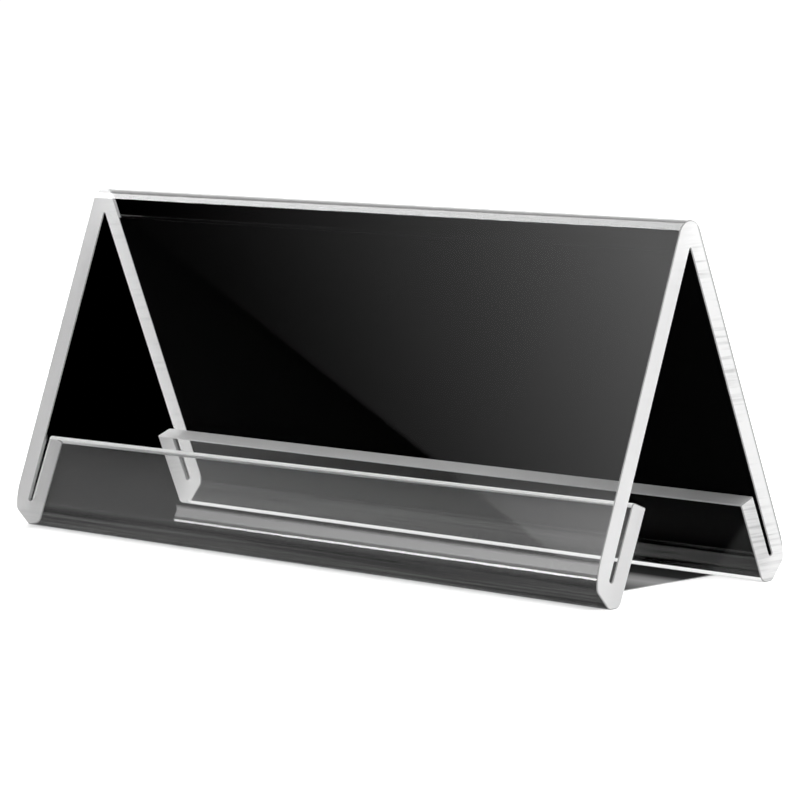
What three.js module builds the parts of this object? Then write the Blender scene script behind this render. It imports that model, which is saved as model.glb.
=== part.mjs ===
// Double-sided table-top sign holder.
// One sheet of clear acrylic is bent into a tent. The bottom edge of each panel is folded up
// inside the tent as a lip, and the gap between a lip and its panel is a slot for a sign card.
// X runs along the ridge, Y from front to rear and Z up. The origin is on the table, midway
// between the two feet.
import * as THREE from 'three';

// Driving dimensions, in millimetres and degrees
const LENGTH = 216; // along the ridge, the short side of a letter sheet
const HEIGHT = 89.6; // table to the top of the ridge
const LEAN = 20.6; // each panel's lean from upright
const SHEET = 4.75; // acrylic sheet, sold as 3/16 inch
const CARD = 0.4; // thickness of the sign card
const CARD_SHORT = 6.5; // how much shorter the card is than the holder
const CLEARANCE = 0.3; // air on each side of the card, and above it

const RIDGE_RADIUS = 3.9; // outside of the ridge bend
const RIDGE_INNER_RADIUS = 0.2; // inside of the ridge bend, nearly sharp

// Each foot is a tight fold round the closed end of its slot. The hot sheet is pressed flat on
// three sides as it folds: the flank stands upright, the chin slopes under it and the sole
// rests on the table. Each wall is measured from the slot.
const FLANK_WALL = 4.4;
const CHIN_WALL = 4.6;
const SOLE_WALL = 6.4;
const CHIN_SLOPE = 50; // from level
const FLANK_RADIUS = 8;
const CHIN_RADIUS = 2.5;
const SOLE_RADIUS = 1.6;
const HEEL_RADIUS = 2;

const FRONT_LIP_TOP = 23.7; // height of the front lip's edge, on the slot's side
const REAR_LIP_TOP = 21.5;
const FRONT_FLARE = 1.6; // how far the front lip springs away from its panel, in degrees
const REAR_FLARE = 0.8;
const EDGE_RADIUS = 0.3; // polished corners of each lip's cut edge

const ARC_STEP = 8; // degrees of bend to each facet

// What follows from them
const radians = THREE.MathUtils.degToRad;
const lean = radians(LEAN);
const slot = CARD + 2 * CLEARANCE;
const apexZ = HEIGHT + RIDGE_RADIUS * (1 / Math.sin(lean) - 1);
const rootDepth = SHEET + slot / 2;
const rootZ = SOLE_WALL + slot / 2;
const rootDown = (apexZ - rootDepth * Math.sin(lean) - rootZ) / Math.cos(lean);

// Directions on the rear half of the section: up the panel, and inward from its outer face.
const upPanel = new THREE.Vector2(-Math.sin(lean), Math.cos(lean));
const inward = new THREE.Vector2(-Math.cos(lean), -Math.sin(lean));
const apex = new THREE.Vector2(0, apexZ);

// A point on the rear half: so far down the panel from the apex, and so deep from its outer face.
function onPanel(down, depth) {
  return apex.clone().addScaledVector(upPanel, -down).addScaledVector(inward, depth);
}

// The point where a line through start meets the height z.
function atHeight(start, direction, z) {
  return start.clone().addScaledVector(direction, (z - start.y) / direction.y);
}

// The corners of one foot with its lip, from the outer face round to the slot's closed end.
// Each is a sharp corner with the radius that rounds it.
function footCorners(lipTop, flareDegrees) {
  const flare = radians(flareDegrees);
  const chin = radians(CHIN_SLOPE);
  const root = onPanel(rootDown, rootDepth);

  const flankY = root.x + slot / 2 + FLANK_WALL;
  const flankTopZ = apexZ - flankY / Math.tan(lean);
  const chinReach = slot / 2 + CHIN_WALL;
  const chinTopZ = root.y + ((flankY - root.x) * Math.sin(chin) - chinReach) / Math.cos(chin);
  const chinFootY = root.x + (chinReach - root.y * Math.cos(chin)) / Math.sin(chin);

  const origin = new THREE.Vector2();
  const upLip = upPanel.clone().rotateAround(origin, flare);
  const throughLip = inward.clone().rotateAround(origin, flare);
  const lipStart = root.clone().addScaledVector(inward, slot / 2);
  const lipEdge = atHeight(lipStart, upLip, lipTop);
  const lipBackEdge = lipEdge.clone().addScaledVector(throughLip, SHEET);
  const lipFloor = lipStart.clone().addScaledVector(upLip, -slot / 2 / Math.cos(flare));

  return [
    { at: new THREE.Vector2(flankY, flankTopZ), radius: FLANK_RADIUS },
    { at: new THREE.Vector2(flankY, chinTopZ), radius: CHIN_RADIUS },
    { at: new THREE.Vector2(chinFootY, 0), radius: SOLE_RADIUS },
    { at: atHeight(lipBackEdge, upLip, 0), radius: HEEL_RADIUS },
    { at: lipBackEdge, radius: EDGE_RADIUS },
    { at: lipEdge, radius: EDGE_RADIUS },
    { at: lipFloor, radius: slot / 2 },
    { at: onPanel(rootDown + slot / 2, SHEET), radius: slot / 2 },
  ];
}

// The same corners on the front half, in the order that carries on round the section.
function mirrored(corners) {
  const flipped = corners.map(({ at, radius }) => ({ at: new THREE.Vector2(-at.x, at.y), radius }));
  return flipped.reverse();
}

// A closed outline with every corner rounded. No fillet takes more than half of an edge.
function roundedOutline(corners) {
  const points = [];
  corners.forEach(({ at, radius }, i) => {
    const before = corners[(i + corners.length - 1) % corners.length].at;
    const after = corners[(i + 1) % corners.length].at;
    const back = before.clone().sub(at);
    const on = after.clone().sub(at);
    const room = Math.min(back.length(), on.length()) / 2;
    back.normalize();
    on.normalize();
    const half = Math.acos(THREE.MathUtils.clamp(back.dot(on), -1, 1)) / 2;
    const reach = Math.min(radius / Math.tan(half), room);
    const fitted = reach * Math.tan(half);
    const middle = back.clone().add(on).normalize();
    const centre = at.clone().addScaledVector(middle, fitted / Math.sin(half));
    const first = at.clone().addScaledVector(back, reach).sub(centre);
    const last = at.clone().addScaledVector(on, reach).sub(centre);
    const turn = Math.atan2(first.cross(last), first.dot(last));
    const steps = Math.max(1, Math.ceil(Math.abs(turn) / radians(ARC_STEP)));
    for (let k = 0; k <= steps; k += 1) {
      points.push(first.clone().rotateAround(new THREE.Vector2(), (turn * k) / steps).add(centre));
    }
  });
  return points;
}

// A section in (y, z) drawn out along X, so long that it ends level with the holder's right end.
function alongRidge(outline, length) {
  const geometry = new THREE.ExtrudeGeometry(new THREE.Shape(outline), {
    depth: length,
    bevelEnabled: false,
  });
  const axisX = new THREE.Vector3(1, 0, 0);
  const axisY = new THREE.Vector3(0, 1, 0);
  const axisZ = new THREE.Vector3(0, 0, 1);
  geometry.applyMatrix4(new THREE.Matrix4().makeBasis(axisY, axisZ, axisX));
  geometry.translate(LENGTH / 2 - length, 0, 0);
  return geometry;
}

function namedMesh(name, geometry, material) {
  const mesh = new THREE.Mesh(geometry, material);
  mesh.name = name;
  return mesh;
}

// The bent sheet: down the rear panel, round its foot and lip, back up to the ridge, and the
// same on the front.
function makeBody() {
  const rearFoot = footCorners(REAR_LIP_TOP, REAR_FLARE);
  const frontFoot = footCorners(FRONT_LIP_TOP, FRONT_FLARE);
  const innerApex = new THREE.Vector2(0, apexZ - SHEET / Math.sin(lean));
  const outline = roundedOutline([
    { at: apex, radius: RIDGE_RADIUS },
    ...rearFoot,
    { at: innerApex, radius: RIDGE_INNER_RADIUS },
    ...mirrored(frontFoot),
  ]);
  const acrylic = new THREE.MeshStandardMaterial({
    color: 0xeef2f3,
    roughness: 0.04,
    metalness: 0,
    transparent: true,
    opacity: 0.35,
  });
  return namedMesh('holder_body', alongRidge(outline, LENGTH), acrylic);
}

// The sign card stands in the rear slot against the panel, and reaches up until its top edge
// nearly meets the inside of the front panel. It is pushed in from the left, until it is level
// with the right end.
function makeCard() {
  const near = SHEET + CLEARANCE;
  const far = near + CARD;
  const top = (SHEET + CLEARANCE + far * Math.cos(2 * lean)) / Math.sin(2 * lean);
  const outline = [
    onPanel(top, near),
    onPanel(rootDown, near),
    onPanel(rootDown, far),
    onPanel(top, far),
  ];
  const card = new THREE.MeshStandardMaterial({ color: 0x0b0b0c, roughness: 0.7, metalness: 0 });
  return namedMesh('sign_card', alongRidge(outline, LENGTH - CARD_SHORT), card);
}

const signHolder = new THREE.Group();
signHolder.add(makeBody(), makeCard());

export default signHolder;
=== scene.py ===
# %% [markdown]
# # A clear acrylic sign holder
# The object is one sheet of clear acrylic, bent into a tent, with both bottom edges folded up
# inside it as lips. A black card stands in the slot behind the rear lip.
# The CAD model gives every size and every place. This lesson rebuilds the same two pieces with
# smooth bends and real finishes, and then lights them as a photographer lights clear plastic.

# %% Load the frame
import math

import bmesh
import bpy
from mathutils import Matrix, Vector


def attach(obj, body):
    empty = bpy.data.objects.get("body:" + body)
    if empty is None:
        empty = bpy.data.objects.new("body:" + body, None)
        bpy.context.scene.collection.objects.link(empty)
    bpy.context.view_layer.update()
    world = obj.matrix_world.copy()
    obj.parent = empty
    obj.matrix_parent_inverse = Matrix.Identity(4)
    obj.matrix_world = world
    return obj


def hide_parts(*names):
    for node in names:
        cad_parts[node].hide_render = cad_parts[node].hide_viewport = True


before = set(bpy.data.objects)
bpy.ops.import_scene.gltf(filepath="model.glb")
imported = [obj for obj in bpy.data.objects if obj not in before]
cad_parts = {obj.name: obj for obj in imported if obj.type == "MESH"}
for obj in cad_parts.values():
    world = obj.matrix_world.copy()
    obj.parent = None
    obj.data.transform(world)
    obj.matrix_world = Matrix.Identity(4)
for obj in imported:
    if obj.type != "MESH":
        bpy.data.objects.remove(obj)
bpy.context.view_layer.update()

# %% [markdown]
# ## The camera
# The photograph was measured first: eleven straight edges and the tips of the feet fix where
# the camera stood. It is a long lens from the front right, a little above the table, and a
# hair off level. The camera comes first, so that each later step can be judged against the
# photograph.

# %% Camera
MM = 0.001  # sizes below are in millimetres, and Blender works in metres
FIELD_OF_VIEW = 11.1327  # degrees, the same across and down in a square picture
CAMERA_PLACE = Vector((758.57, -719.02, 157.47)) * MM
CAMERA_RIGHT = Vector((0.6929, 0.7209, -0.0142)).normalized()
CAMERA_FORWARD = Vector((-0.7175, 0.6874, -0.1126)).normalized()
BOUNCES = 40  # a sight line may cross many clear walls

camera_data = bpy.data.cameras.new("photo_camera")
camera_data.sensor_fit = "HORIZONTAL"
camera_data.angle = math.radians(FIELD_OF_VIEW)
camera_data.clip_start = 0.05
camera_data.clip_end = 100
camera = bpy.data.objects.new("photo_camera", camera_data)
camera_up = CAMERA_RIGHT.cross(CAMERA_FORWARD).normalized()
camera_right = CAMERA_FORWARD.cross(camera_up).normalized()
axes = Matrix((camera_right, camera_up, -CAMERA_FORWARD)).transposed()
camera.matrix_world = Matrix.Translation(CAMERA_PLACE) @ axes.to_4x4()
bpy.context.scene.collection.objects.link(camera)
bpy.context.scene.camera = camera
bpy.context.scene.view_settings.view_transform = "Standard"
light_paths = bpy.context.scene.cycles
light_paths.max_bounces = light_paths.glossy_bounces = light_paths.transmission_bounces = BOUNCES
print("camera at", [round(v, 4) for v in camera.location], "lens", round(camera_data.lens, 1), "mm")

# %% [markdown]
# ## Small helpers
# Colours are written as the sRGB hex values that a colour picker shows, and one function turns
# them into the linear values that the sockets want. Another adds a node with its settings, its
# values and its links in one line, so that a material reads from top to bottom.

# %% Helpers


def linear(hex_colour):
    """The linear RGBA of an sRGB hex colour."""
    channels = [int(hex_colour[i : i + 2], 16) / 255 for i in (1, 3, 5)]
    return [c / 12.92 if c <= 0.04045 else ((c + 0.055) / 1.055) ** 2.4 for c in channels] + [1.0]


def add_node(tree, kind, inputs=(), **settings):
    """A new node. Each of its inputs takes a value, or a link if it is given a socket."""
    node = tree.nodes.new(kind)
    for name, value in settings.items():
        setattr(node, name, value)
    for name, value in dict(inputs).items():
        if isinstance(value, bpy.types.NodeSocket):
            tree.links.new(value, node.inputs[name])
        else:
            node.inputs[name].default_value = value
    return node


def new_material(name):
    """An empty node material and its tree."""
    material = bpy.data.materials.new(name)
    material.use_nodes = True
    material.node_tree.nodes.clear()
    return material, material.node_tree


print("the middle grey #808080 is", round(linear("#808080")[0], 4), "in linear light")

# %% [markdown]
# ## The section of the sheet
# The holder has the same section all along its length, so its shape is one closed outline. The
# outline is worked out from the same sizes as the CAD model: straight lines meet at sharp
# corners, and each corner is then rounded with an arc. The CAD arcs step 8 degrees, which shows
# as facets in a clear bend, so here they step 3 degrees. The flank's bend is also made as wide
# as its short wall allows, because that bend mirrors the room and a tight one would squeeze the
# reflection into a line. Each stretch of the outline keeps a name, because the sheet has a
# different finish where it was sawn, pressed or bent.

# %% Driving sizes, as in the CAD model
LENGTH = 216 * MM
HEIGHT = 89.6 * MM
LEAN = math.radians(20.6)
SHEET = 4.75 * MM  # 3/16 inch
CARD = 0.4 * MM
CARD_SHORT = 6.5 * MM  # how much shorter the card is than the holder
CLEARANCE = 0.3 * MM
RIDGE_RADIUS = 3.9 * MM
RIDGE_INNER_RADIUS = 0.2 * MM
FLANK_WALL = 4.4 * MM
CHIN_WALL = 4.6 * MM
SOLE_WALL = 6.4 * MM
CHIN_SLOPE = math.radians(50)
FLANK_RADIUS = 17.5 * MM  # wider than the CAD's 8 mm, and inside its outline
CHIN_RADIUS = 2.1 * MM  # the CAD's is 2.5 mm, and the flank's wide bend needs the room
SOLE_RADIUS = 1.6 * MM
HEEL_RADIUS = 2 * MM
EDGE_RADIUS = 0.3 * MM
# Height of the lip's edge, its flare, the rounding of its edge beside the slot, and its half.
# The CAD rounds both lips by 0.3 mm.
FRONT_LIP = (23.7 * MM, math.radians(1.6), 0.9 * MM, "front")
REAR_LIP = (21.5 * MM, math.radians(0.8), 0.3 * MM, "rear")
ARC_STEP = math.radians(3)

SLOT = CARD + 2 * CLEARANCE
APEX = Vector((0, HEIGHT + RIDGE_RADIUS * (1 / math.sin(LEAN) - 1)))
ROOT_DEPTH = SHEET + SLOT / 2
ROOT_DOWN = (APEX.y - ROOT_DEPTH * math.sin(LEAN) - SOLE_WALL - SLOT / 2) / math.cos(LEAN)
UP_PANEL = Vector((-math.sin(LEAN), math.cos(LEAN)))  # on the rear half, in (y, z)
INWARD = Vector((-math.cos(LEAN), -math.sin(LEAN)))
print("the panels' outer faces would meet at z =", round(APEX.y / MM, 2), "mm")

# %% Corners of the section


def turned(vector, angle):
    """A vector in (y, z) turned anticlockwise."""
    return Matrix.Rotation(angle, 2) @ vector


def on_panel(down, depth):
    """A point of the rear half, so far down from the apex and so deep from the outer face."""
    return APEX - UP_PANEL * down + INWARD * depth


def at_height(start, direction, z):
    """The point where a line through start meets the height z."""
    return start + direction * ((z - start.y) / direction.y)


def foot_corners(lip):
    """One foot with its lip, as sharp corners.

    Each has its place, its radius, the finish of its arc and the finish of the stretch after it.
    """
    lip_top, flare, rounding, half = lip
    root = on_panel(ROOT_DOWN, ROOT_DEPTH)
    flank_y = root.x + SLOT / 2 + FLANK_WALL
    flank_top = Vector((flank_y, APEX.y - flank_y / math.tan(LEAN)))
    chin_reach = SLOT / 2 + CHIN_WALL
    chin_top_z = ((flank_y - root.x) * math.sin(CHIN_SLOPE) - chin_reach) / math.cos(CHIN_SLOPE)
    chin_top = Vector((flank_y, root.y + chin_top_z))
    chin_foot_y = (chin_reach - root.y * math.cos(CHIN_SLOPE)) / math.sin(CHIN_SLOPE)
    chin_foot = Vector((root.x + chin_foot_y, 0))
    up_lip = turned(UP_PANEL, flare)
    lip_start = root + INWARD * (SLOT / 2)
    lip_edge = at_height(lip_start, up_lip, lip_top)
    lip_back = lip_edge + turned(INWARD, flare) * SHEET
    heel = at_height(lip_back, up_lip, 0)
    slot_floor = lip_start - up_lip * (SLOT / 2 / math.cos(flare))
    slot_end = half + "_slot_end"
    lip_edges = half + "_lip_edge"
    return [
        (flank_top, FLANK_RADIUS, "flank", "flank"),
        (chin_top, CHIN_RADIUS, "chin", "chin"),
        (chin_foot, SOLE_RADIUS, "chin", "chin"),
        (heel, HEEL_RADIUS, half + "_heel", half + "_lip"),
        (lip_back, EDGE_RADIUS, lip_edges, lip_edges),
        (lip_edge, rounding, lip_edges, "slot"),
        (slot_floor, SLOT / 2, slot_end, slot_end),
        (on_panel(ROOT_DOWN + SLOT / 2, SHEET), SLOT / 2, slot_end, "inside"),
    ]


print("corners in one foot:", len(foot_corners(REAR_LIP)))

# %% Both halves of the section


def mirrored(corners):
    """The same corners on the front half, in the order that carries on round the section."""
    before = ["panel"] + [stretch for _, _, _, stretch in corners[:-1]]
    flipped = [
        (Vector((-at.x, at.y)), radius, bend, stretch)
        for (at, radius, bend, _), stretch in zip(corners, before)
    ]
    return flipped[::-1]


inner_apex = APEX - Vector((0, SHEET / math.sin(LEAN)))
section_corners = [
    (APEX, RIDGE_RADIUS, "ridge", "panel"),
    *foot_corners(REAR_LIP),
    (inner_apex, RIDGE_INNER_RADIUS, "slot", "inside"),
    *mirrored(foot_corners(FRONT_LIP)),
]
print(len(section_corners), "corners in the section")

# %% Round the corners
ARC_SHARE = 0.8  # the most of an edge that one arc may take up


def rounded(corners, step):
    """The outline as (point, outward normal, finish after it), with an arc at each corner."""
    points = []
    for i, (at, radius, bend, stretch) in enumerate(corners):
        back = corners[i - 1][0] - at
        on = corners[(i + 1) % len(corners)][0] - at
        room = min(back.length, on.length) * ARC_SHARE
        back.normalize()
        on.normalize()
        half = back.angle(on) / 2
        reach = min(radius / math.tan(half), room)
        fitted = reach * math.tan(half)
        middle = (back + on).normalized()
        centre = at + middle * (fitted / math.sin(half))
        first = at + back * reach - centre
        last = at + on * reach - centre
        turn = math.atan2(first.x * last.y - first.y * last.x, first.dot(last))
        steps = max(2, math.ceil(abs(turn) / step))
        for k in range(steps + 1):
            spoke = turned(first, turn * k / steps)
            # The outline runs clockwise, so a right turn is an outside corner.
            outward = spoke.normalized() * (1 if turn < 0 else -1)
            points.append((centre + spoke, outward, bend if k < steps else stretch))
    return points


outline = rounded(section_corners, ARC_STEP)
print(len(outline), "points round the section")

# %% [markdown]
# ## The bent sheet
# A maker saws a strip from cast acrylic, softens it along lines with a hot wire, and folds it
# round a former. In Blender the section could be a curve with an extrusion, but a mesh built
# row by row lets each strip have its own finish. Four rows are enough: the two cut ends, and a
# narrow broken edge beside each, where the maker scraped off the sharp corner.
# The front lip's edge isn't cut quite true in the photograph. It rises a little to the right,
# and its rear side is a little low at the left.
# Smooth shading would smear the flat panels into the bends, so the normals are written from
# the arcs themselves.

# %% Strips of the sheet
BROKEN_EDGE = 0.22 * MM  # scraped corner of each sawn end
FINISHES = (
    "panel",
    "ridge",
    "flank",
    "chin",
    "inside",
    "slot",
    "front_heel",
    "rear_heel",
    "front_slot_end",
    "rear_slot_end",
    "front_lip",
    "rear_lip",
    "front_lip_edge",
    "rear_lip_edge",
    "scraped",
    "sawn_end",
)
EDGE_RISE = 0.8 * MM  # how much higher the front lip's edge is at its right end
EDGE_DROP = 0.5 * MM  # how much lower its rear side is at its left end
EDGE_HEIGHTS = (20 * MM, 26 * MM)  # no other point of the front half is between these
LIP_LEAN = LEAN - FRONT_LIP[1]
print("the sheet has", len(FINISHES), "finishes")

# %% Mesh from a section


def at_section(x, point):
    """A point of the section at the place x along the ridge, with the uneven front lip."""
    move = 0
    if point.x < 0 and EDGE_HEIGHTS[0] < point.y < EDGE_HEIGHTS[1]:
        rightward = x / LENGTH + 0.5
        rearward = (FRONT_LIP[0] - point.y) / (SHEET * math.sin(LIP_LEAN))
        move = EDGE_RISE * rightward - EDGE_DROP * (1 - rightward) * rearward
    return Vector((x, point.x + move * math.tan(LIP_LEAN), point.y + move))


def inset(points, distance):
    """The outline moved into the sheet, for the sawn face inside its broken edge."""
    return [at - outward * distance for at, outward, _ in points]


def sheet_mesh(name, points, length, broken):
    """The outline drawn out along X, with a bevel round both ends and a finish on each strip."""
    right = LENGTH / 2
    left = right - length
    rows = [
        (left, inset(points, broken)),
        (left + broken, [at for at, _, _ in points]),
        (right - broken, [at for at, _, _ in points]),
        (right, inset(points, broken)),
    ]
    shape = bmesh.new()
    rings = [[shape.verts.new(at_section(x, at)) for at in ring] for x, ring in rows]
    corner_normals = {}
    count = len(points)
    for row in range(3):
        for i in range(count):
            j = (i + 1) % count
            corners = (rings[row][i], rings[row + 1][i], rings[row + 1][j], rings[row][j])
            face = shape.faces.new(corners)
            face.smooth = True
            face.material_index = FINISHES.index("scraped" if row != 1 else points[i][2])
            tilt = (-1, 0, 1)[row]
            ends = [Vector((tilt, *points[k][1])).normalized() for k in (i, j)]
            corner_normals[len(shape.faces) - 1] = [ends[0], ends[0], ends[1], ends[1]]
    for ring, x_side in ((rings[0], -1), (rings[-1], 1)):
        ordered = ring if x_side < 0 else ring[::-1]
        face = shape.faces.new(ordered)
        face.material_index = FINISHES.index("sawn_end")
        corner_normals[len(shape.faces) - 1] = [Vector((x_side, 0, 0))] * count
    mesh = bpy.data.meshes.new(name)
    shape.to_mesh(mesh)
    shape.free()
    normals = []
    for polygon in mesh.polygons:
        normals.extend(corner_normals[polygon.index])
    mesh.normals_split_custom_set(normals)
    return mesh


def new_object(name, mesh):
    """An object in the scene for a mesh."""
    made = bpy.data.objects.new(name, mesh)
    bpy.context.scene.collection.objects.link(made)
    return made


print("a ring of the sheet has", len(inset(outline, BROKEN_EDGE)), "points")

# %% Bent sheet
holder_mesh = sheet_mesh("bent_acrylic_sheet", outline, LENGTH, BROKEN_EDGE)
holder = new_object("bent_acrylic_sheet", holder_mesh)
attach(holder, "holder")
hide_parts("holder_body")
print("bent sheet:", len(holder.data.polygons), "faces")

# %% [markdown]
# ## The sign card
# The card is 0.4 mm black board. It stands in the rear slot against the panel, and its top edge
# nearly meets the front panel under the ridge. In the photograph the left end face of the rear
# panel shows clear through the tent, so the card stops short of it: it is 6.5 mm shorter than
# the holder and pushed level with the right end. It could stay the CAD node's plain slab, but
# cut board has slightly rounded edges.

# %% Sign card
CARD_CORNER = 0.08 * MM
card_near = SHEET + CLEARANCE
card_far = card_near + CARD
card_top = (card_near + card_far * math.cos(2 * LEAN)) / math.sin(2 * LEAN)
card_corners = [
    (on_panel(card_top, card_near), CARD_CORNER, "panel", "panel"),
    (on_panel(ROOT_DOWN, card_near), CARD_CORNER, "panel", "panel"),
    (on_panel(ROOT_DOWN, card_far), CARD_CORNER, "panel", "panel"),
    (on_panel(card_top, card_far), CARD_CORNER, "panel", "panel"),
]
card_outline = rounded(card_corners, math.radians(30))
card_mesh = sheet_mesh("black_sign_card", card_outline, LENGTH - CARD_SHORT, CARD_CORNER)
card = new_object("black_sign_card", card_mesh)
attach(card, "card")
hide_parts("sign_card")
print("card:", len(card.data.polygons), "faces,", round(card_top / MM, 1), "mm below the apex")

# %% [markdown]
# ## Clear acrylic
# Acrylic lets light through and mirrors a little of it at its faces, from 4 percent face on up
# to all of it at a glance. Its index of refraction is 1.49, and a real sheet shifts what is
# seen through it. In the photograph nothing behind the flat walls is shifted: the rear lip runs
# on unbroken behind the front panel. So the flat walls let light straight through (index 1.0)
# and carry their gloss as a coat with the index of acrylic, whose Fresnel curve gives the right
# mirror strength at each angle. The alternative, real refraction everywhere, is kept for the
# tight fold of the rear foot, where the photograph shows the bright lines that bending makes.
# The gloss lies on the air side only. With it on both sides of each wall, every reflection
# came out double, and the photograph has only one.
# The sheet is never perfect: wiping leaves faint soft patches a few millimetres across, and
# cast sheet is slightly wavy over a few centimetres.

# %% Marks on the plastic
ACRYLIC_IOR = 1.49
CLEAR = linear("#fefefe")
WIPE = 8 * MM  # soft patches that a cloth leaves
CAST_WAVE = 40 * MM  # slow waves of cast sheet
DRAWN_LENGTH = 40 * MM  # lines that the bending tool draws along the sheet
DRAWN_PITCH = 0.5 * MM  # really about 0.1 mm, drawn coarser so that it shows
RELIEF = 0.01 * MM  # depth of the waves and lines


def wiped(tree, place, least, most):
    """A roughness that changes softly where a cloth has passed."""
    wipes = add_node(
        tree, "ShaderNodeTexNoise", {"Vector": place, "Scale": 1 / WIPE, "Detail": 3.0}
    )
    return add_node(
        tree, "ShaderNodeMapRange", {"Value": wipes.outputs[0], "To Min": least, "To Max": most}
    ).outputs[0]


def drawn_noise(tree, place, length, pitch):
    """Noise drawn out along X, as a tool drags over hot plastic."""
    along = add_node(
        tree,
        "ShaderNodeMapping",
        {"Vector": place, "Scale": (1 / length, 1 / pitch, 1 / pitch)},
    )
    return add_node(
        tree, "ShaderNodeTexNoise", {"Vector": along.outputs[0], "Scale": 1.0, "Detail": 3.0}
    ).outputs[0]


print("face-on gloss:", round(((ACRYLIC_IOR - 1) / (ACRYLIC_IOR + 1)) ** 2, 4))

# %% Clear walls


def clear_acrylic(name, gloss=1.0, lines=0.0):
    """A wall that lets light straight through, with gloss outside and lines along X."""
    material, tree = new_material(name)
    place = add_node(tree, "ShaderNodeTexCoord").outputs["Object"]
    cast = add_node(
        tree, "ShaderNodeTexNoise", {"Vector": place, "Scale": 1 / CAST_WAVE, "Detail": 1.0}
    )
    wavy = add_node(
        tree,
        "ShaderNodeBump",
        {"Height": cast.outputs[0], "Strength": 0.1, "Distance": RELIEF},
    )
    lined = add_node(
        tree,
        "ShaderNodeBump",
        {
            "Height": drawn_noise(tree, place, DRAWN_LENGTH, DRAWN_PITCH),
            "Strength": lines,
            "Distance": RELIEF,
            "Normal": wavy.outputs[0],
        },
    )
    inner_side = add_node(tree, "ShaderNodeNewGeometry").outputs["Backfacing"]
    coat = add_node(
        tree, "ShaderNodeMath", {0: inner_side, 1: -gloss, 2: gloss}, operation="MULTIPLY_ADD"
    )
    shader = add_node(
        tree,
        "ShaderNodeBsdfPrincipled",
        {
            "Base Color": CLEAR,
            "Roughness": wiped(tree, place, 0.02, 0.06),
            "IOR": 1.0,
            "Transmission Weight": 1.0,
            "Normal": lined.outputs[0],
            "Coat Weight": coat.outputs[0],
            "Coat Roughness": 0.0,
            "Coat IOR": ACRYLIC_IOR,
            "Coat Normal": lined.outputs[0],
        },
    )
    add_node(tree, "ShaderNodeOutputMaterial", {"Surface": shader.outputs[0]})
    return material, tree, shader


panel_acrylic, _, _ = clear_acrylic("clear_cast_acrylic")
bent_acrylic, _, _ = clear_acrylic("clear_acrylic_bent", lines=0.002)
pressed_acrylic, _, _ = clear_acrylic("clear_acrylic_pressed", lines=0.03)
print("walls:", panel_acrylic.name, bent_acrylic.name, pressed_acrylic.name)

# %% [markdown]
# ## Haze
# The photograph is not equally clear everywhere. The front lip has a grey veil that is even
# from its edge down to the fold, the rear lip has a thinner one that is missing near its right
# end, and the chin, the sloping face under each foot, has grey smears along it where the hot
# press dragged. A veil is dust and fine scratches that scatter light, so a few percent of the
# light meets matt white instead of passing. More roughness would blur what is behind, and that
# stays sharp in the photograph. At the left end the mouths of the slots look grey as well,
# because light leaks into them from the cut edges. A stronger veil on the last millimetre of
# the slot's faces stands in for that.

# %% Veils
FRONT_HAZE = 0.095  # the share of the light that scatters
REAR_HAZE = 0.06
MOUTH_HAZE = 0.3
INNER_MOUTH_HAZE = 0.35
SMEAR_HAZE = 0.07
MOUTH = (-106.8, -107.4)  # in mm along X, from clear to hazy
SMEAR_LENGTH = 90 * MM  # streaks of the hot press
SMEAR_PITCH = 0.9 * MM


def veil(tree, shader, amount):
    """Let as much of the light scatter as the amount says."""
    clear = add_node(tree, "ShaderNodeMath", {0: 1.0, 1: amount}, operation="SUBTRACT")
    tree.links.new(clear.outputs[0], shader.inputs["Transmission Weight"])


def change_along(tree, axis, places, amounts):
    """An amount that changes from one place along an axis to another, in millimetres."""
    place = add_node(tree, "ShaderNodeTexCoord").outputs["Object"]
    split = add_node(tree, "ShaderNodeSeparateXYZ", {0: place})
    ramp = add_node(
        tree,
        "ShaderNodeMapRange",
        {
            "Value": split.outputs[axis],
            "From Min": places[0] * MM,
            "From Max": places[1] * MM,
            "To Min": amounts[0],
            "To Max": amounts[1],
        },
    )
    return ramp.outputs[0]


print("mouth of a slot, in mm along X:", MOUTH)

# %% Haze on the lips, in the slots and on the chin
front_lip_acrylic, tree, shader = clear_acrylic("clear_acrylic_front_lip")
veil(tree, shader, change_along(tree, "Z", (3, 5.5), (0, FRONT_HAZE)))

rear_lip_acrylic, tree, shader = clear_acrylic("clear_acrylic_rear_lip")
veil(tree, shader, change_along(tree, "X", (71, 66), (0, REAR_HAZE)))

slot_acrylic, tree, shader = clear_acrylic("clear_acrylic_slot_face", gloss=0.08)
veil(tree, shader, change_along(tree, "X", MOUTH, (0, MOUTH_HAZE)))

inner_acrylic, tree, shader = clear_acrylic("clear_acrylic_inner_face")
low_part = change_along(tree, "Z", (24, 22), (0, INNER_MOUTH_HAZE))
veil(tree, shader, change_along(tree, "X", MOUTH, (0, low_part)))

chin_acrylic, tree, shader = clear_acrylic("clear_acrylic_chin", lines=0.1)
place = add_node(tree, "ShaderNodeTexCoord").outputs["Object"]
smears = drawn_noise(tree, place, SMEAR_LENGTH, SMEAR_PITCH)
dragged = add_node(
    tree,
    "ShaderNodeMapRange",
    {"Value": smears, "From Min": 0.35, "From Max": 0.7, "To Max": SMEAR_HAZE},
)
veil(tree, shader, dragged.outputs[0])
print("veils:", front_lip_acrylic.name, rear_lip_acrylic.name, slot_acrylic.name, chin_acrylic.name)
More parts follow.
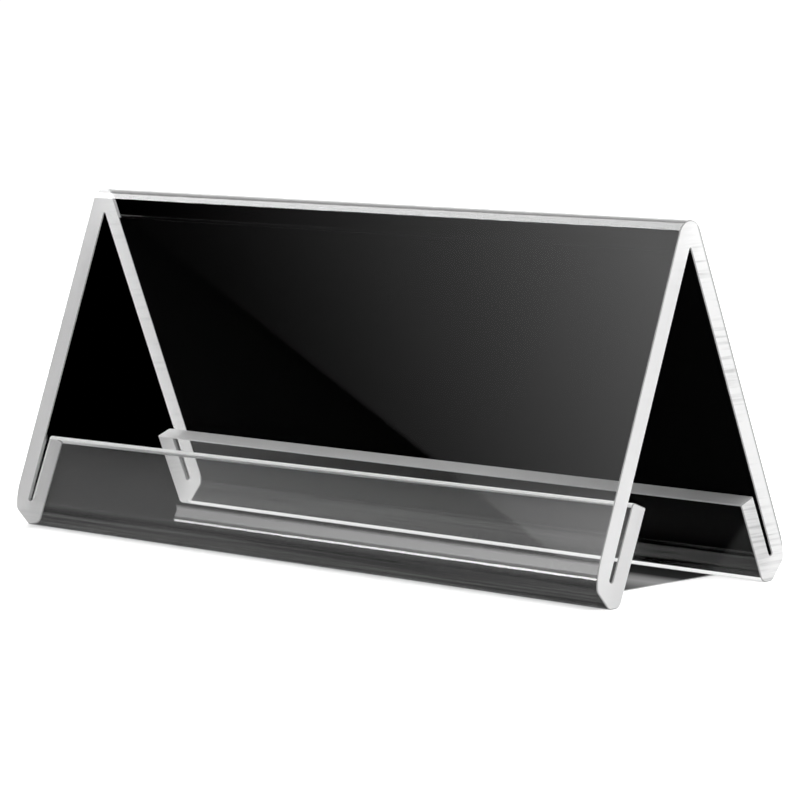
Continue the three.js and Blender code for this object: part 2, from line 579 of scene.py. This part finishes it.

# %% [markdown]
# ## The tight fold of the rear foot
# Here light really bends. The bright line along the bottom of the rear foot, and the streaks
# above it, are the white surroundings seen through the curved heel and the round end of the
# slot, which act as long thin lenses. One glass-like shader with acrylic's own index is given
# to the heel. The round end of the slot keeps the straight look of the slot's faces.
# The front foot shows no such lines in the photograph, so its fold keeps the straight look.

# %% Refracting fold
fold_acrylic, tree = new_material("clear_acrylic_fold")
place = add_node(tree, "ShaderNodeTexCoord").outputs["Object"]
drawn = drawn_noise(tree, place, DRAWN_LENGTH, DRAWN_PITCH)
lined = add_node(
    tree, "ShaderNodeBump", {"Height": drawn, "Strength": 0.02, "Distance": RELIEF}
)
shader = add_node(
    tree,
    "ShaderNodeBsdfPrincipled",
    {
        "Base Color": CLEAR,
        "Roughness": wiped(tree, place, 0.0, 0.02),
        "IOR": ACRYLIC_IOR,
        "Transmission Weight": 1.0,
        "Normal": lined.outputs[0],
    },
)
add_node(tree, "ShaderNodeOutputMaterial", {"Surface": shader.outputs[0]})
print("fold material:", fold_acrylic.name)

# %% [markdown]
# ## Cut edges
# A saw leaves acrylic frosted, and a frosted edge glows: light that is caught inside the sheet
# leaves there. So a cut edge is matt white with part of its light coming from behind it, a
# diffuse shader mixed with a translucent one. The lips' long edges were scraped smooth and have
# only a fine grain. The front one is also rounded towards its slot, which makes it one bright
# line. The rear one's share from behind grows to the right, where a plain share was too bright.
# The scraped corner round each sawn end is coloured grey, painted shade for the less light it
# catches, and draws a thin grey outline. The blade crossed the rear leg with more chatter, and
# left fine level marks about a millimetre apart, in patches. The marks are a noise drawn out
# across the leg, and they colour the cut and dent it. The rear leg's cut is also whiter than
# the front one's, with a thin grey line of painted shade along its outer side, where the
# polished face begins.

# %% Frosted edges


def frost(tree, colour, glow, relief):
    """Finish a material as a frosted surface. The glow is the share of light from behind."""
    inputs = {"Color": colour, "Normal": relief}
    front = add_node(tree, "ShaderNodeBsdfDiffuse", inputs)
    behind = add_node(tree, "ShaderNodeBsdfTranslucent", inputs)
    both = add_node(
        tree, "ShaderNodeMixShader", {0: glow, 1: front.outputs[0], 2: behind.outputs[0]}
    )
    add_node(tree, "ShaderNodeOutputMaterial", {"Surface": both.outputs[0]})


def edge_grain(tree, size, light, dark):
    """Fine speckle between two colours, and its relief. Real grain is finer than it is drawn."""
    place = add_node(tree, "ShaderNodeTexCoord").outputs["Object"]
    grain = add_node(
        tree, "ShaderNodeTexNoise", {"Vector": place, "Scale": 1 / size, "Detail": 2.0}
    )
    colour = add_node(
        tree,
        "ShaderNodeMix",
        {0: grain.outputs[0], 6: linear(light), 7: linear(dark)},
        data_type="RGBA",
    )
    relief = add_node(
        tree,
        "ShaderNodeBump",
        {"Height": grain.outputs[0], "Strength": 0.1, "Distance": 0.02 * MM},
    )
    return colour.outputs[2], relief.outputs[0]


front_edge, tree = new_material("acrylic_scraped_front_edge")
colour, relief = edge_grain(tree, 0.8 * MM, "#ffffff", "#fafafa")
frost(tree, colour, 0.4, relief)

rear_edge, tree = new_material("acrylic_scraped_rear_edge")
colour, relief = edge_grain(tree, 0.8 * MM, "#e8e8e8", "#e2e2e2")
frost(tree, colour, change_along(tree, "X", (20, 108), (0.25, 0.8)), relief)

scraped_corner_painted_shade, tree = new_material("acrylic_scraped_corner")
# The grey is painted shade: the scraped corner is coloured darker to draw a thin outline.
colour, relief = edge_grain(tree, 0.5 * MM, "#b8b8b8", "#a8a8a8")
frost(tree, colour, 0.5, relief)
print("frosted edges:", front_edge.name, rear_edge.name, scraped_corner_painted_shade.name)

# %% Saw marks
MARK_PITCH = 0.9 * MM  # from one mark of the blade to the next
MARK_LENGTH = 20 * MM
PATCH = 14 * MM
FRONT_MARKS = 0.1  # strength of the marks on the front leg, where the rear one has 1
LEFT_MARKS = 0.35  # and at the left end, where the right one has 1
MIDDLE = (-3, 3)  # in mm, where one leg or end gives over to the other

sawn_acrylic, tree = new_material("acrylic_sawn_end")
place = add_node(tree, "ShaderNodeTexCoord").outputs["Object"]
level = add_node(
    tree, "ShaderNodeMapping", {"Vector": place, "Scale": (0, 1 / MARK_LENGTH, 1 / MARK_PITCH)}
)
chatter = add_node(
    tree, "ShaderNodeTexNoise", {"Vector": level.outputs[0], "Scale": 1.0, "Detail": 4.0}
)
marks = add_node(
    tree, "ShaderNodeMapRange", {"Value": chatter.outputs[0], "From Min": 0.46, "From Max": 0.7}
)
wide = add_node(tree, "ShaderNodeTexNoise", {"Vector": place, "Scale": 1 / PATCH, "Detail": 1.0})
patches = add_node(
    tree, "ShaderNodeMapRange", {"Value": wide.outputs[0], "From Min": 0.3, "From Max": 0.5}
)
rear = change_along(tree, "Y", MIDDLE, (FRONT_MARKS, 1))
right = change_along(tree, "X", MIDDLE, (LEFT_MARKS, 1))
amount = marks.outputs[0]
for share in (patches.outputs[0], rear, right):
    amount = add_node(
        tree, "ShaderNodeMath", {0: amount, 1: share}, operation="MULTIPLY"
    ).outputs[0]
print("saw marks every", MARK_PITCH / MM, "mm in patches of", PATCH / MM, "mm")

# %% Sawn ends
# The thin grey line along the rear leg's outer side is painted shade.
PAINTED_OUTER_SHADE = (0.9 * MM, 0.6 * MM)  # depth below the outer face, from none of the line to all

plain = add_node(
    tree,
    "ShaderNodeMix",
    {0: rear, 6: linear("#f0f0f0"), 7: linear("#ffffff")},
    data_type="RGBA",
)
marked = add_node(
    tree,
    "ShaderNodeMix",
    {0: amount, 6: plain.outputs[2], 7: linear("#dadada")},
    data_type="RGBA",
)
split = add_node(tree, "ShaderNodeSeparateXYZ", {0: place})
down = add_node(
    tree,
    "ShaderNodeMath",
    {0: split.outputs["Z"], 1: -math.sin(LEAN), 2: APEX.y * math.sin(LEAN)},
    operation="MULTIPLY_ADD",
)
depth = add_node(
    tree,
    "ShaderNodeMath",
    {0: split.outputs["Y"], 1: -math.cos(LEAN), 2: down.outputs[0]},
    operation="MULTIPLY_ADD",
)
painted_outer_shade = add_node(
    tree,
    "ShaderNodeMapRange",
    {"Value": depth.outputs[0], "From Min": PAINTED_OUTER_SHADE[0], "From Max": PAINTED_OUTER_SHADE[1]},
)
# mix the painted shade line into the colour of the cut, near the outer face
colour = add_node(
    tree,
    "ShaderNodeMix",
    {0: painted_outer_shade.outputs[0], 6: marked.outputs[2], 7: linear("#c0c0c0")},
    data_type="RGBA",
)
relief = add_node(
    tree,
    "ShaderNodeBump",
    {"Height": marks.outputs[0], "Strength": 0.05, "Distance": 0.02 * MM},
)
frost(tree, colour.outputs[2], 0.5, relief.outputs[0])
print("sawn ends:", sawn_acrylic.name, "with", len(tree.nodes), "nodes")

# %% Give each strip of the sheet its finish
FINISH_MATERIALS = {
    "panel": panel_acrylic,
    "ridge": bent_acrylic,
    "flank": pressed_acrylic,
    "chin": chin_acrylic,
    "inside": inner_acrylic,
    "slot": slot_acrylic,
    "front_heel": front_lip_acrylic,
    "rear_heel": fold_acrylic,
    "front_slot_end": slot_acrylic,
    "rear_slot_end": slot_acrylic,
    "front_lip": front_lip_acrylic,
    "rear_lip": rear_lip_acrylic,
    "front_lip_edge": front_edge,
    "rear_lip_edge": rear_edge,
    "scraped": scraped_corner_painted_shade,
    "sawn_end": sawn_acrylic,
}
for finish in FINISHES:
    holder.data.materials.append(FINISH_MATERIALS[finish])
print("the sheet carries", len(set(FINISH_MATERIALS.values())), "materials")

# %% [markdown]
# ## Black card
# Matt black board, dyed through and pressed, with a fine paper grain. The fibres change the
# colour a little, roughen the sheen and dent the surface. The photograph shows the card as
# black as the table, so its colour is close to black and its sheen very low.

# %% Black card
FIBRE = 0.5 * MM  # really about 0.05 mm wide, drawn coarser so that it shows

black_card, tree = new_material("black_card_stock")
place = add_node(tree, "ShaderNodeTexCoord").outputs["Object"]
fibres = add_node(
    tree, "ShaderNodeTexNoise", {"Vector": place, "Scale": 1 / FIBRE, "Detail": 4.0}
)
colour = add_node(
    tree,
    "ShaderNodeMix",
    {0: fibres.outputs[0], 6: linear("#020202"), 7: linear("#050505")},
    data_type="RGBA",
)
rough = add_node(
    tree, "ShaderNodeMapRange", {"Value": fibres.outputs[0], "To Min": 0.85, "To Max": 0.95}
)
relief = add_node(
    tree,
    "ShaderNodeBump",
    {"Height": fibres.outputs[0], "Strength": 0.3, "Distance": 0.02 * MM},
)
shader = add_node(
    tree,
    "ShaderNodeBsdfPrincipled",
    {
        "Base Color": colour.outputs[2],
        "Roughness": rough.outputs[0],
        "Specular IOR Level": 0.02,
        "Normal": relief.outputs[0],
    },
)
add_node(tree, "ShaderNodeOutputMaterial", {"Surface": shader.outputs[0]})
for _ in FINISHES:
    card.data.materials.append(black_card)
print("card colour from", linear("#020202")[0], "to", linear("#050505")[0])

# %% [markdown]
# ## White floor over a black table
# Clear plastic on white is nearly invisible, so a photographer puts black behind it and keeps
# the white for the edges. The photograph has both at once: the surroundings are white, and
# everything seen through the acrylic is black. That is a cut-out, a picture taken on a black
# table and laid on white. The scene does the same in one go. The white floor is there for the
# camera, for the light it throws up and, dimmed, for gloss, and a black board just under it is
# what shows through the acrylic. The floor keeps the object's shadow.
# Between the feet the floor's colour is darkened as far as 91 mm to the right: painted shade
# under the tent, with a painted dull reflection of the tent in it. It fades out towards the
# left, which the photograph does not show. A soft grey line in front of the front foot, where
# the foot shades the floor, is drawn the same way, for the camera only.

# %% Stage helpers


def flat_board(name, corners):
    """A flat stage piece with these corners."""
    mesh = bpy.data.meshes.new(name)
    mesh.from_pydata(corners, [], [tuple(range(len(corners)))])
    made = new_object(name, mesh)
    return made


def seen_only_by(thing, *rays):
    """Show a stage piece to some kinds of ray and hide it from the others."""
    for ray in ("camera", "diffuse", "glossy", "transmission", "volume_scatter", "shadow"):
        setattr(thing, "visible_" + ray, ray in rays)


def square(half, z):
    """The corners of a level square round the origin."""
    return [(-half, -half, z), (half, -half, z), (half, half, z), (-half, half, z)]


def level_curve(tree, value, stops):
    """A curve through (place, level) stops, read at a value in the same units."""
    low, high = stops[0][0], stops[-1][0]
    share = add_node(
        tree, "ShaderNodeMapRange", {"Value": value, "From Min": low, "From Max": high}
    )
    curve = add_node(tree, "ShaderNodeValToRGB", {"Fac": share.outputs[0]})
    ends = curve.color_ramp.elements
    for end, level in ((ends[0], stops[0][1]), (ends[1], stops[-1][1])):
        end.color = (level, level, level, 1)
    for at, level in stops[1:-1]:
        stop = ends.new((at - low) / (high - low))
        stop.color = (level, level, level, 1)
    return curve.outputs[0]


print("stage helpers ready")

# %% Floor
FLOOR_HALF = 30  # metres, so that its end is out of sight
FLOOR_COLOUR = 0.88
CAMERA_LIFT = 0.55  # the camera sees the floor as plain white
GLOSS_DROP = 0.55  # gloss sees a darker one

floor = flat_board("floor", square(FLOOR_HALF, 0))
floor_material, tree = new_material("pale_floor")
path = add_node(tree, "ShaderNodeLightPath")
lift = add_node(
    tree,
    "ShaderNodeMath",
    {0: path.outputs["Is Camera Ray"], 1: CAMERA_LIFT, 2: FLOOR_COLOUR},
    operation="MULTIPLY_ADD",
)
whole = add_node(
    tree,
    "ShaderNodeMath",
    {0: path.outputs["Is Glossy Ray"], 1: -GLOSS_DROP, 2: lift.outputs[0]},
    operation="MULTIPLY_ADD",
)
for seen_by, level in (("camera", CAMERA_LIFT), ("light", 0), ("gloss", -GLOSS_DROP)):
    print("floor colour for the", seen_by + ":", round(FLOOR_COLOUR + level, 2))

# %% Painted shade between the feet
# Painted shade under the tent. The lighter stretch from 1 to 12 mm is a painted dull reflection of
# the tent.
PAINTED_SHADE_UNDER_TENT = (  # place from front to rear in mm, and the share of the floor's colour left there
    (-28.4, 1.0),
    (-27.4, 0.03),
    (-6, 0.035),
    (1, 0.11),
    (8, 0.24),
    (12, 0.2),
    (17, 0.02),
    (29, 0.01),
    (31, 1.0),
)
PAINTED_SHADE_RIGHT_END = (90, 92.5)  # in mm along X, where the dark stops at the right
PAINTED_SHADE_LEFT_FADE = (20, -100)  # and where it fades out to the left

past = add_node(
    tree,
    "ShaderNodeMath",
    {0: change_along(tree, "X", PAINTED_SHADE_RIGHT_END, (0, 1)), 1: change_along(tree, "X", PAINTED_SHADE_LEFT_FADE, (0, 1))},
    operation="MAXIMUM",
)
place = add_node(tree, "ShaderNodeTexCoord").outputs["Object"]
split = add_node(tree, "ShaderNodeSeparateXYZ", {0: place})
# the painted shade and painted reflection, multiplied into the floor's colour
dark = level_curve(tree, split.outputs["Y"], [(at * MM, level) for at, level in PAINTED_SHADE_UNDER_TENT])
painted_tent_shade = add_node(tree, "ShaderNodeMapRange", {"Value": past.outputs[0], "To Min": dark})
print("dark ground from", PAINTED_SHADE_UNDER_TENT[0][0], "to", PAINTED_SHADE_UNDER_TENT[-1][0], "mm")

# %% Shade of the front foot, and the floor's material
FOOT_SHADE = ((-40, 1.0), (-35, 0.72), (-31, 0.52), (-28.4, 0.36), (-27.4, 1.0))
SHADE_END = (104, 112)  # in mm from the middle, where the shade fades out at both ends

shade = level_curve(tree, split.outputs["Y"], [(at * MM, level) for at, level in FOOT_SHADE])
away = add_node(tree, "ShaderNodeMath", {0: split.outputs["X"]}, operation="ABSOLUTE")
beside_foot = add_node(
    tree,
    "ShaderNodeMapRange",
    {
        "Value": away.outputs[0],
        "From Min": SHADE_END[0] * MM,
        "From Max": SHADE_END[1] * MM,
        "To Min": shade,
    },
)
foot_shade = add_node(
    tree,
    "ShaderNodeMapRange",
    {"Value": path.outputs["Is Camera Ray"], "To Min": 1.0, "To Max": beside_foot.outputs[0]},
)
colour = whole
for share in (painted_tent_shade, foot_shade):
    colour = add_node(
        tree, "ShaderNodeMath", {0: colour.outputs[0], 1: share.outputs[0]}, operation="MULTIPLY"
    )
matt = add_node(tree, "ShaderNodeBsdfDiffuse", {"Color": colour.outputs[0]})
add_node(tree, "ShaderNodeOutputMaterial", {"Surface": matt.outputs[0]})
floor.data.materials.append(floor_material)
seen_only_by(floor, "camera", "diffuse", "glossy", "shadow")
print("floor:", floor_material.name, "with", len(tree.nodes), "nodes")

# %% Black board
BELOW_FLOOR = 0.5 * MM

black_board = flat_board("black_board", square(FLOOR_HALF, -BELOW_FLOOR))
velvet, tree = new_material("black_velvet")
matt = add_node(tree, "ShaderNodeBsdfDiffuse", {"Color": linear("#000000")})
add_node(tree, "ShaderNodeOutputMaterial", {"Surface": matt.outputs[0]})
black_board.data.materials.append(velvet)
seen_only_by(black_board, "transmission")
print("floor and black board are", 2 * FLOOR_HALF, "m square")

# %% [markdown]
# ## What the front panel mirrors
# The panel shows a reflection that grows from nothing at its left to a soft grey at its top
# right, and is cut off by a sharp slanting edge. That is a white board with light falling off
# across it, whose lower edge crosses the picture. It stands in front on the left, where the
# camera's view goes after the panel has mirrored it. The board's own middle, its axes and the
# slope of its edge were worked out by mirroring measured points of the photograph. The
# reflection is stronger over the lip than above it, so the board is brighter along its foot.

# %% Graded board
BOARD_MIDDLE = Vector((-2126.1, -1783.96, 1163.66)) * MM
BOARD_SIDE = Vector((-0.63400, 0.77333, 0.0)).normalized()
BOARD_UP = Vector((0.28767, 0.23584, 0.92824)).normalized()

graded_board = flat_board(
    "graded_board", [(-0.5, -1.4, 0), (0.6, -1.4, 0), (0.6, 0.4, 0), (-0.5, 0.4, 0)]
)
axes = Matrix((BOARD_SIDE, BOARD_UP, BOARD_SIDE.cross(BOARD_UP))).transposed()
graded_board.matrix_world = Matrix.Translation(BOARD_MIDDLE) @ axes.to_4x4()
print("graded board stands", round(BOARD_MIDDLE.length, 2), "m away")

# %% Light across the graded board
ACROSS, UP, AT_MIDDLE = -1.26, 1.58, 0.4396  # brightness per metre, and at the middle
FALL_OFF = 2.4

graded_paper, tree = new_material("graded_board_paper")
place = add_node(tree, "ShaderNodeTexCoord").outputs["Object"]
split = add_node(tree, "ShaderNodeSeparateXYZ", {0: place})
across = add_node(
    tree,
    "ShaderNodeMath",
    {0: split.outputs["X"], 1: ACROSS, 2: AT_MIDDLE},
    operation="MULTIPLY_ADD",
)
rise = add_node(
    tree,
    "ShaderNodeMath",
    {0: split.outputs["Y"], 1: UP, 2: across.outputs[0]},
    operation="MULTIPLY_ADD",
    use_clamp=True,
)
fall_off = add_node(tree, "ShaderNodeMath", {0: rise.outputs[0], 1: FALL_OFF}, operation="POWER")
print("at its middle the board has", round(AT_MIDDLE**FALL_OFF, 3), "of its full light")

# %% The graded board's edge and foot
BOARD_GAIN = 1.9
EDGE_SLOPE, EDGE_HEIGHT = -0.1454, 0.0406  # the sharp edge that crosses the picture
EDGE_BLUR = 0.0025
FOOT_SLOPE = 0.4242
FOOT_PLACES = (-0.089, -0.12)  # where the brighter foot starts, and where it is full
FOOT_GAIN = 2.2

edge = add_node(
    tree,
    "ShaderNodeMath",
    {0: split.outputs["X"], 1: EDGE_SLOPE, 2: EDGE_HEIGHT},
    operation="MULTIPLY_ADD",
)
above = add_node(
    tree, "ShaderNodeMath", {0: split.outputs["Y"], 1: edge.outputs[0]}, operation="ADD"
)
mask = add_node(
    tree,
    "ShaderNodeMapRange",
    {
        "Value": above.outputs[0],
        "From Min": -EDGE_BLUR,
        "From Max": EDGE_BLUR,
        "To Max": BOARD_GAIN,
    },
)
low = add_node(
    tree,
    "ShaderNodeMath",
    {0: split.outputs["X"], 1: FOOT_SLOPE, 2: split.outputs["Y"]},
    operation="MULTIPLY_ADD",
)
foot = add_node(
    tree,
    "ShaderNodeMapRange",
    {
        "Value": low.outputs[0],
        "From Min": FOOT_PLACES[0],
        "From Max": FOOT_PLACES[1],
        "To Min": 1.0,
        "To Max": FOOT_GAIN,
    },
)
strength = fall_off
for share in (mask, foot):
    strength = add_node(
        tree,
        "ShaderNodeMath",
        {0: strength.outputs[0], 1: share.outputs[0]},
        operation="MULTIPLY",
    )
glow = add_node(tree, "ShaderNodeEmission", {"Strength": strength.outputs[0]})
add_node(tree, "ShaderNodeOutputMaterial", {"Surface": glow.outputs[0]})
graded_board.data.materials.append(graded_paper)
seen_only_by(graded_board, "glossy", "transmission")
print("graded board: up to", round(BOARD_GAIN * FOOT_GAIN, 2), "times white along its foot")

# %% [markdown]
# ## What the ridge and the front foot mirror
# A bend mirrors a whole fan of directions as one narrow line. On the ridge the photograph shows
# a grey line along the top, then a bright one that ends sharply where the flat panel begins. So
# beside the holder stands a softbox shaped like a slice of a fan round the ridge: dim in its
# lower part, bright above, and cut off at the angle of that sharp end.
# The flank, the upright face of the front foot, mirrors a low softbox that stands on the floor
# in front on the left. Its rounded left side is the rounded end of the glow in the photograph,
# and a bright strip along its foot gives the thin bright line under the glow. To the right it
# fades out, so that from other sides its reflection in the panel has no hard edge.
# Both are seen in gloss only, so they put no more light on the object.

# %% Ridge softbox
FAN_X = -1.5
FAN_AXIS_Z = 89 * MM
FAN_ANGLES = (math.radians(18), math.radians(134.7))
FAN_RADII = (0.8, 2.3)


def on_fan(radius, share):
    """A corner of the fan, so far from its axis and so far round from its lower side."""
    angle = FAN_ANGLES[0] + (FAN_ANGLES[1] - FAN_ANGLES[0]) * share
    return (FAN_X, radius * math.cos(angle), FAN_AXIS_Z + radius * math.sin(angle))


fan_corners = [on_fan(FAN_RADII[1], k / 12) for k in range(13)]
fan_corners += [on_fan(FAN_RADII[0], 1 - k / 12) for k in range(13)]
ridge_softbox = flat_board("ridge_softbox", fan_corners)
print("ridge softbox:", len(fan_corners), "corners")

# %% Cloth of the ridge softbox
FAN_BRIGHT = (math.radians(86), math.radians(70))  # start of the bright part, near and far
FAN_NEAR_FAR = (1.16, 1.75)  # and the radii in metres between which it changes
FAN_BLUR = 0.06  # radians from dim to bright
FAN_DIM = 2.3
FAN_RISE = (4.0, 10.5)  # what the bright part adds, at its start and at its end

ridge_light, tree = new_material("ridge_softbox_cloth")
place = add_node(tree, "ShaderNodeTexCoord").outputs["Object"]
arm = add_node(
    tree, "ShaderNodeVectorMath", {0: place, 1: (FAN_X, 0, FAN_AXIS_Z)}, operation="SUBTRACT"
)
split = add_node(tree, "ShaderNodeSeparateXYZ", {0: arm.outputs[0]})
radius = add_node(tree, "ShaderNodeVectorMath", {0: arm.outputs[0]}, operation="LENGTH")
angle = add_node(
    tree, "ShaderNodeMath", {0: split.outputs["Z"], 1: split.outputs["Y"]}, operation="ARCTAN2"
)
start = add_node(
    tree,
    "ShaderNodeMapRange",
    {
        "Value": radius.outputs["Value"],
        "From Min": FAN_NEAR_FAR[0],
        "From Max": FAN_NEAR_FAR[1],
        "To Min": FAN_BRIGHT[0],
        "To Max": FAN_BRIGHT[1],
    },
)
past = add_node(
    tree, "ShaderNodeMath", {0: angle.outputs[0], 1: start.outputs[0]}, operation="SUBTRACT"
)
bright = add_node(tree, "ShaderNodeMapRange", {"Value": past.outputs[0], "From Max": FAN_BLUR})
rising = add_node(
    tree,
    "ShaderNodeMapRange",
    {
        "Value": angle.outputs[0],
        "From Min": FAN_BRIGHT[1],
        "From Max": FAN_ANGLES[1],
        "To Min": FAN_RISE[0],
        "To Max": FAN_RISE[1],
    },
)
strength = add_node(
    tree,
    "ShaderNodeMath",
    {0: rising.outputs[0], 1: bright.outputs[0], 2: FAN_DIM},
    operation="MULTIPLY_ADD",
)
glow = add_node(tree, "ShaderNodeEmission", {"Strength": strength.outputs[0]})
add_node(tree, "ShaderNodeOutputMaterial", {"Surface": glow.outputs[0]})
ridge_softbox.data.materials.append(ridge_light)
seen_only_by(ridge_softbox, "glossy")
print("ridge softbox: from", FAN_DIM, "to", FAN_DIM + FAN_RISE[1], "times white")

# %% Low softbox
LOW_Y = -1.5
LOW_TOP = 0.82
LOW_LEFT = -1.716
LOW_RIGHT = -0.7
LOW_ROUND = 0.36  # how far its left side bows out with height

low_corners = []
for k in range(8, -1, -1):
    height = LOW_TOP * k / 8
    low_corners.append((LOW_LEFT - LOW_ROUND * height**2, LOW_Y, height))
low_corners += [(LOW_RIGHT, LOW_Y, 0), (LOW_RIGHT, LOW_Y, LOW_TOP)]
low_softbox = flat_board("low_softbox", low_corners)
print("low softbox:", round(LOW_RIGHT - LOW_LEFT, 2), "m wide and", LOW_TOP, "m high")

# %% Cloth of the low softbox
LOW_LEVELS = (  # height in metres, and brightness
    (0.0, 2.8),
    (0.08, 2.8),
    (0.09, 0.34),
    (0.2, 0.34),
    (0.24, 1.0),
    (0.62, 1.0),
    (LOW_TOP, 0.0),
)
LOW_POWER_PLACES = (-1.72, -1.25)  # from left to right, in metres
LOW_POWER = (4.2, 6.6)
LOW_FADE = -1.1  # from here to the right it fades out

low_light, tree = new_material("low_softbox_cloth")
place = add_node(tree, "ShaderNodeTexCoord").outputs["Object"]
split = add_node(tree, "ShaderNodeSeparateXYZ", {0: place})
power = add_node(
    tree,
    "ShaderNodeMapRange",
    {
        "Value": split.outputs["X"],
        "From Min": LOW_POWER_PLACES[0],
        "From Max": LOW_POWER_PLACES[1],
        "To Min": LOW_POWER[0],
        "To Max": LOW_POWER[1],
    },
)
fade = add_node(
    tree,
    "ShaderNodeMapRange",
    {
        "Value": split.outputs["X"],
        "From Min": LOW_FADE,
        "From Max": LOW_RIGHT,
        "To Min": 1.0,
        "To Max": 0.0,
    },
    interpolation_type="SMOOTHSTEP",
)
strength = level_curve(tree, split.outputs["Z"], LOW_LEVELS)
for share in (power, fade):
    strength = add_node(
        tree, "ShaderNodeMath", {0: strength, 1: share.outputs[0]}, operation="MULTIPLY"
    ).outputs[0]
glow = add_node(tree, "ShaderNodeEmission", {"Strength": strength})
add_node(tree, "ShaderNodeOutputMaterial", {"Surface": glow.outputs[0]})
low_softbox.data.materials.append(low_light)
seen_only_by(low_softbox, "glossy")
print("low softbox: up to", round(LOW_POWER[1] * LOW_LEVELS[0][1], 1), "times white at its foot")

# %% [markdown]
# ## The light
# A white room lights everything evenly, a soft lamp overhead gives the faint shadow, and one on
# the right lifts the right-hand sawn ends to near white, as in the photograph. The left ends
# are seen from inside the sheet and are greyer, so the lamp on that side is weak. The room is
# plain white to the camera, to gloss and through the acrylic, and a little darker as light.

# %% Room
ROOM_LIGHT = 0.75

room = bpy.data.worlds.new("white_room")
bpy.context.scene.world = room
room.use_nodes = True
tree = room.node_tree
tree.nodes.clear()
path = add_node(tree, "ShaderNodeLightPath")
seen = add_node(
    tree,
    "ShaderNodeMath",
    {0: path.outputs["Is Camera Ray"], 1: path.outputs["Is Glossy Ray"]},
    operation="ADD",
)
seen = add_node(
    tree,
    "ShaderNodeMath",
    {0: seen.outputs[0], 1: path.outputs["Is Transmission Ray"]},
    operation="ADD",
    use_clamp=True,
)
as_light = add_node(
    tree, "ShaderNodeBackground", {"Color": linear("#ffffff"), "Strength": ROOM_LIGHT}
)
as_white = add_node(tree, "ShaderNodeBackground", {"Color": linear("#ffffff"), "Strength": 1.0})
both = add_node(
    tree,
    "ShaderNodeMixShader",
    {0: seen.outputs[0], 1: as_light.outputs[0], 2: as_white.outputs[0]},
)
add_node(tree, "ShaderNodeOutputWorld", {"Surface": both.outputs[0]})
print("the room gives", ROOM_LIGHT, "of plain white as light")

# %% Lamps


def soft_lamp(name, place, target, size, power):
    """A rectangular lamp that looks at its target, and that the camera does not see."""
    data = bpy.data.lights.new(name, "AREA")
    data.shape = "RECTANGLE"
    data.size, data.size_y = size
    data.energy = power
    lamp = bpy.data.objects.new(name, data)
    lamp.location = place
    lamp.rotation_euler = (Vector(target) - Vector(place)).to_track_quat("-Z", "Y").to_euler()
    bpy.context.scene.collection.objects.link(lamp)
    lamp.visible_camera = False
    return lamp


HALF_WAY_UP = (0, 0, 0.04)
soft_lamp("overhead", (0, 0, 1.6), (0, 0, 0), (1.6, 1.2), 12)
soft_lamp("right_side", (1.5, 0.2, 0.7), HALF_WAY_UP, (0.8, 0.8), 9.5)
left_lamp = soft_lamp("left_side", (-1.5, 0.2, 0.7), HALF_WAY_UP, (0.8, 0.8), 2.2)
left_lamp.visible_glossy = False  # it would show in the ridge
print("lamps:", [light.name for light in bpy.data.lights])
